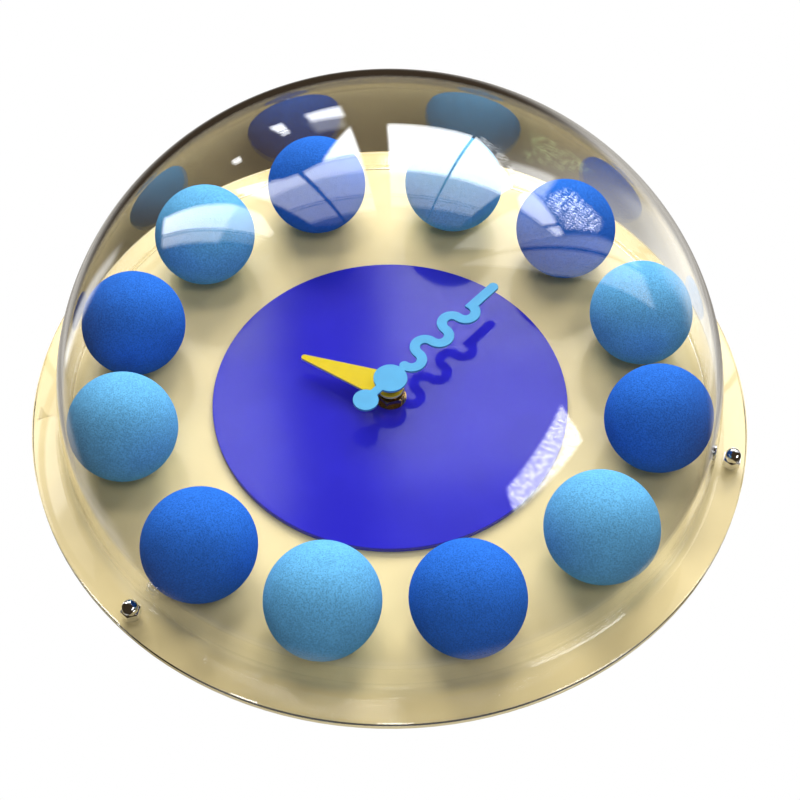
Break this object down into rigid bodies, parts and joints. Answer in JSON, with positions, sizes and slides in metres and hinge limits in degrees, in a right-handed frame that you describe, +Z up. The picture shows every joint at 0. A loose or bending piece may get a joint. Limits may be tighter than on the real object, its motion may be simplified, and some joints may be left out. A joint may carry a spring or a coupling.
{
  "type": "bubble wall clock",
  "caption": "Wall clock under a clear blown dome: foam balls mark the hours round a glossy disc, and a battery quartz movement turns a wavy minute hand and a tapered hour hand.",
  "frame": {"origin": "on the axis of the hands, in the plane of the wall that the clock hangs on", "axes": "+Z up to 12 o'clock, -Y out of the wall towards the viewer, +X to the viewer's right, at 3 o'clock"},
  "size_m": [0.35, 0.176, 0.35],
  "materials": {
    "lacquered_plate": "satin",
    "indigo_disc": "gloss",
    "clear_dome": "polished",
    "dark_ball": "matte",
    "light_ball": "matte",
    "zinc_steel": "satin",
    "chrome_nut": "polished",
    "black_rubber": "matte",
    "brass_bush": "satin",
    "case_plastic": "matte",
    "cover_plastic": "matte",
    "gear_plastic": "satin",
    "cell_jacket": "gloss",
    "contact_strip": "satin",
    "board": "satin",
    "chip_resin": "matte",
    "crystal_can": "satin",
    "bobbin_plastic": "satin",
    "copper_winding": "satin",
    "soft_iron": "satin",
    "magnet": "matte",
    "arbor_steel": "satin",
    "knob_plastic": "satin",
    "minute_paint": "matte",
    "hour_paint": "satin",
    "socket_brass": "satin"
  },
  "bodies": {
    "clock": {"back_plate": "lacquered_plate", "dial_disc": "indigo_disc", "dome": "clear_dome", "ball_01": "light_ball", "ball_02": "dark_ball", "ball_03": "light_ball", "ball_04": "dark_ball", "ball_05": "light_ball", "ball_06": "dark_ball", "ball_07": "light_ball", "ball_08": "dark_ball", "ball_09": "light_ball", "ball_10": "dark_ball", "ball_11": "light_ball", "ball_12": "dark_ball", "ball_screws": "zinc_steel", "ball_screw_washers": "zinc_steel", "cap_nuts": "chrome_nut", "flange_bolts": "zinc_steel", "flange_bolt_washers": "zinc_steel", "wall_bumpers": "black_rubber", "hanger_bracket": "zinc_steel", "rubber_gasket": "black_rubber", "threaded_bush": "brass_bush", "bush_nut": "brass_bush", "bush_washer": "brass_bush", "movement_case": "case_plastic", "movement_cover": "cover_plastic", "train_plate": "gear_plastic", "battery_contact_plus": "contact_strip", "battery_contact_minus": "contact_strip", "circuit_board": "board", "clock_chip": "chip_resin", "quartz_crystal": "crystal_can", "coil_bobbin": "bobbin_plastic", "coil_winding": "copper_winding", "coil_core": "soft_iron", "stator": "soft_iron"},
    "minute_work": {"minute_arbor": "arbor_steel", "clutch_washer": "socket_brass", "minute_hand": "minute_paint", "minute_hand_socket": "socket_brass"},
    "works": {"works_wheel": "gear_plastic", "set_knob": "knob_plastic"},
    "hour_work": {"hour_wheel": "gear_plastic", "hour_hand": "hour_paint", "hour_hand_socket": "socket_brass"},
    "rotor": {"rotor_pinion": "gear_plastic", "rotor_magnet": "magnet"},
    "intermediate": {"intermediate_wheel": "gear_plastic"},
    "seconds": {"seconds_wheel": "gear_plastic"},
    "third": {"third_wheel": "gear_plastic"},
    "centre": {"centre_wheel": "gear_plastic"},
    "cell": {"battery": "cell_jacket"}
  },
  "joints": [
    {"name": "minute_spin", "type": "hinge", "parent": "clock", "child": "minute_work", "pos_m": [0, 0, 0], "axis": [0, 1, 0], "continuous": true},
    {"name": "works_spin", "type": "hinge", "parent": "clock", "child": "works", "pos_m": [0.01128, 0, 0.0041], "axis": [0, 1, 0], "continuous": true},
    {"name": "hour_spin", "type": "hinge", "parent": "clock", "child": "hour_work", "pos_m": [0, 0, 0], "axis": [0, 1, 0], "continuous": true},
    {"name": "rotor_spin", "type": "hinge", "parent": "clock", "child": "rotor", "pos_m": [0.00199, 0, 0.01526], "axis": [0, 1, 0], "continuous": true},
    {"name": "intermediate_spin", "type": "hinge", "parent": "clock", "child": "intermediate", "pos_m": [-0.00381, 0, 0.0137], "axis": [0, 1, 0], "continuous": true},
    {"name": "seconds_spin", "type": "hinge", "parent": "clock", "child": "seconds", "pos_m": [-0.0107, 0, 0.01249], "axis": [0, 1, 0], "continuous": true},
    {"name": "third_spin", "type": "hinge", "parent": "clock", "child": "third", "pos_m": [-0.00779, 0, 0.0045], "axis": [0, 1, 0], "continuous": true},
    {"name": "centre_spin", "type": "hinge", "parent": "clock", "child": "centre", "pos_m": [0, 0, 0], "axis": [0, 1, 0], "continuous": true},
    {"name": "battery_slide", "type": "slide", "parent": "clock", "child": "cell", "axis": [0, 1, 0], "range_m": [0, 0.02]}
  ],
  "couplings": [
    {"joint": "works_spin", "follows": "minute_spin", "ratio": -0.33333},
    {"joint": "hour_spin", "follows": "minute_spin", "ratio": 0.083333},
    {"joint": "intermediate_spin", "follows": "rotor_spin", "ratio": -0.2},
    {"joint": "seconds_spin", "follows": "rotor_spin", "ratio": 0.033333},
    {"joint": "third_spin", "follows": "rotor_spin", "ratio": -0.0044444},
    {"joint": "centre_spin", "follows": "rotor_spin", "ratio": 0.00055556}
  ]
}
